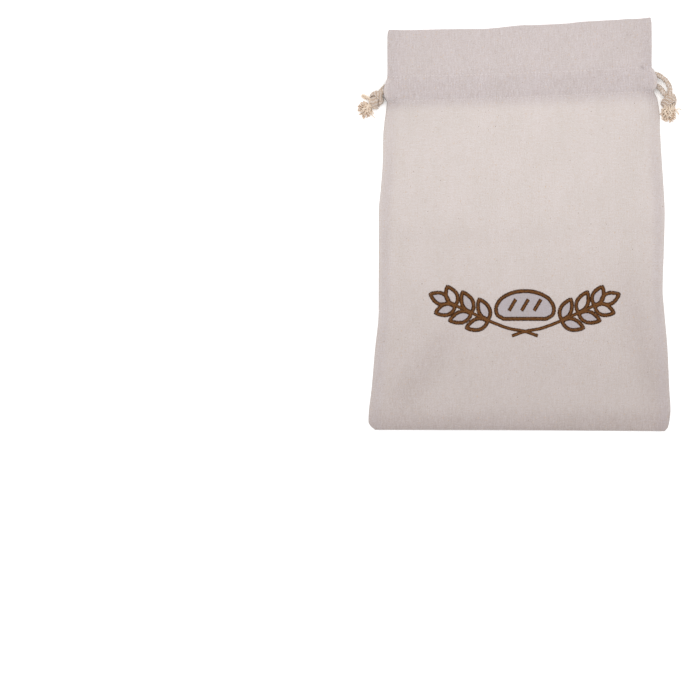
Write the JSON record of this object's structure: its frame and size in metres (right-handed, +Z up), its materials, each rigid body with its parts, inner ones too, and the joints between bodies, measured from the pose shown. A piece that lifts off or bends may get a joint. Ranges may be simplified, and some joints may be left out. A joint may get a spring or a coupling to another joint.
{
  "type": "drawstring linen bread bag",
  "caption": "Flat drawstring cloth bag lying empty on its back, with a hemmed open mouth, a side-slit channel below it and knotted, frayed drawcords at both sides.",
  "frame": {"origin": "under the middle of the cloth's outline, on the surface that the bag lies on", "axes": "+Z up out of the face, +Y from the bottom fold to the mouth, +X to the right of the face as it is seen from above with the mouth at the top"},
  "size_m": [0.3247, 0.4138, 0.0208],
  "materials": {
    "linen": "plain weave, unbleached, matt",
    "cotton_cord": "braided natural cotton, matt"
  },
  "bodies": {
    "root": {"bag_cloth": "linen", "cord_right": "cotton_cord", "cord_left": "cotton_cord", "knot_right": "cotton_cord", "knot_left": "cotton_cord"}
  },
  "joints": []
}
